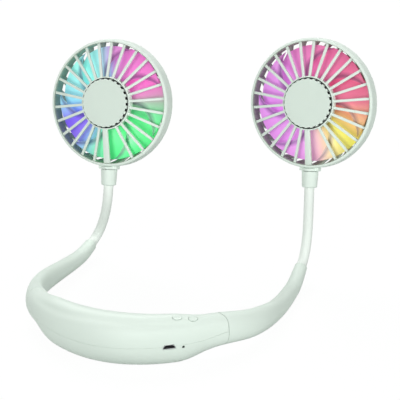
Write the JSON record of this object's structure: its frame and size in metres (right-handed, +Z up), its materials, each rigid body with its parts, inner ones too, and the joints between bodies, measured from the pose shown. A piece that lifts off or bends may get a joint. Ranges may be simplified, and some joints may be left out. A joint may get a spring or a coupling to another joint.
{
  "type": "portable neck fan",
  "caption": "Hands-free neckband fan: curved battery housing, slim arms, bendable necks and round fan heads with lit impellers and removable scent caps.",
  "frame": {"origin": "on the flat underside of the battery housing, in the plane between the two arms", "axes": "+Z up as it stands on a table, +Y from the housing towards the fan heads, +X to the wearer's right, where the port and buttons are"},
  "size_m": [0.2086, 0.1966, 0.145],
  "materials": {
    "mint_plastic": "pale mint, satin",
    "mint_silicone": "pale mint, soft matt",
    "frosted_blade": "frosted translucent",
    "dark_moulding": "black",
    "steel": "bright",
    "grey_insulation": "matt grey",
    "motor_can": "bright",
    "green_laminate": "green solder resist",
    "white_laminate": "white solder resist",
    "silver_pouch": "foil",
    "felt": "undyed",
    "clear_lens": "clear"
  },
  "bodies": {
    "band": {"arm_left": "mint_silicone", "arm_right": "mint_silicone", "battery_cell": "silver_pouch", "charge_indicator": "clear_lens", "housing_lower_shell": "mint_plastic", "housing_upper_shell": "mint_plastic", "light_switch": "dark_moulding", "main_board": "green_laminate", "motor_lead_left": "grey_insulation", "motor_lead_right": "grey_insulation", "neck_left_1": "mint_silicone", "neck_right_1": "mint_silicone", "shell_screw_1": "steel", "shell_screw_2": "steel", "speed_switch": "dark_moulding", "usb_socket": "steel"},
    "speed_button": {"speed_button": "mint_plastic"},
    "light_button": {"light_button": "mint_plastic"},
    "neck_right_lower": {"neck_right_2": "mint_silicone"},
    "neck_right_middle": {"neck_right_3": "mint_silicone"},
    "neck_right_upper": {"neck_right_4": "mint_silicone", "collar_right": "mint_plastic"},
    "head_right": {"front_grille_right": "mint_plastic", "rear_housing_right": "mint_plastic", "rear_guard_right": "mint_plastic", "motor_right": "motor_can", "light_ring_right": "white_laminate", "scent_pad_right": "felt"},
    "impeller_right": {"impeller_right": "frosted_blade", "motor_shaft_right": "steel"},
    "cap_right": {"scent_cap_right": "mint_plastic"},
    "neck_left_lower": {"neck_left_2": "mint_silicone"},
    "neck_left_middle": {"neck_left_3": "mint_silicone"},
    "neck_left_upper": {"neck_left_4": "mint_silicone", "collar_left": "mint_plastic"},
    "head_left": {"front_grille_left": "mint_plastic", "rear_housing_left": "mint_plastic", "rear_guard_left": "mint_plastic", "motor_left": "motor_can", "light_ring_left": "white_laminate", "scent_pad_left": "felt"},
    "impeller_left": {"impeller_left": "frosted_blade", "motor_shaft_left": "steel"},
    "cap_left": {"scent_cap_left": "mint_plastic"}
  },
  "joints": [
    {"name": "neck_right_pitch_1", "type": "hinge", "parent": "band", "child": "neck_right_lower", "pos_m": [0.07214, 0.13262, 0.0183], "axis": [1, 0, 0], "range_deg": [-30, 30]},
    {"name": "neck_right_roll", "type": "hinge", "parent": "neck_right_lower", "child": "neck_right_middle", "pos_m": [0.07294, 0.13709, 0.03284], "axis": [0, 1, 0], "range_deg": [-30, 30]},
    {"name": "neck_right_pitch_2", "type": "hinge", "parent": "neck_right_middle", "child": "neck_right_upper", "pos_m": [0.07358, 0.13918, 0.04801], "axis": [1, 0, 0], "range_deg": [-30, 30]},
    {"name": "head_right_swivel", "type": "hinge", "parent": "neck_right_upper", "child": "head_right", "pos_m": [0.0735, 0.1417, 0.0579], "axis": [-0.0419, 0.3581, 0.9328], "range_deg": [-90, 90]},
    {"name": "impeller_right_spin", "type": "hinge", "parent": "head_right", "child": "impeller_right", "pos_m": [0.07132, 0.15662, 0.10793], "axis": [0, -0.9336, 0.3584], "continuous": true},
    {"name": "cap_right_pull", "type": "slide", "parent": "head_right", "child": "cap_right", "axis": [0, -0.9336, 0.3584], "range_m": [0, 0.01]},
    {"name": "neck_left_pitch_1", "type": "hinge", "parent": "band", "child": "neck_left_lower", "pos_m": [-0.06914, 0.12793, 0.01625], "axis": [1, 0, 0], "range_deg": [-30, 30]},
    {"name": "neck_left_roll", "type": "hinge", "parent": "neck_left_lower", "child": "neck_left_middle", "pos_m": [-0.06216, 0.12497, 0.02935], "axis": [0, 1, 0], "range_deg": [-30, 30]},
    {"name": "neck_left_pitch_2", "type": "hinge", "parent": "neck_left_middle", "child": "neck_left_upper", "pos_m": [-0.05661, 0.12104, 0.04293], "axis": [1, 0, 0], "range_deg": [-30, 30]},
    {"name": "head_left_swivel", "type": "hinge", "parent": "neck_left_upper", "child": "head_left", "pos_m": [-0.0552, 0.1218, 0.0528], "axis": [-0.0419, 0.3581, 0.9328], "range_deg": [-90, 90]},
    {"name": "impeller_left_spin", "type": "hinge", "parent": "head_left", "child": "impeller_left", "pos_m": [-0.05738, 0.13672, 0.10283], "axis": [0, -0.9336, 0.3584], "continuous": true},
    {"name": "cap_left_pull", "type": "slide", "parent": "head_left", "child": "cap_left", "axis": [0, -0.9336, 0.3584], "range_m": [0, 0.01]},
    {"name": "speed_button_press", "type": "slide", "parent": "band", "child": "speed_button", "axis": [0, 0, -1], "range_m": [0, 0.0004], "stiffness_N_per_m": 400, "springref_m": -0.0006},
    {"name": "light_button_press", "type": "slide", "parent": "band", "child": "light_button", "axis": [0, 0, -1], "range_m": [0, 0.0004], "stiffness_N_per_m": 400, "springref_m": -0.0006}
  ],
  "couplings": [
    {"joint": "neck_right_pitch_2", "follows": "neck_right_pitch_1", "ratio": 1},
    {"joint": "neck_left_pitch_2", "follows": "neck_left_pitch_1", "ratio": 1}
  ]
}
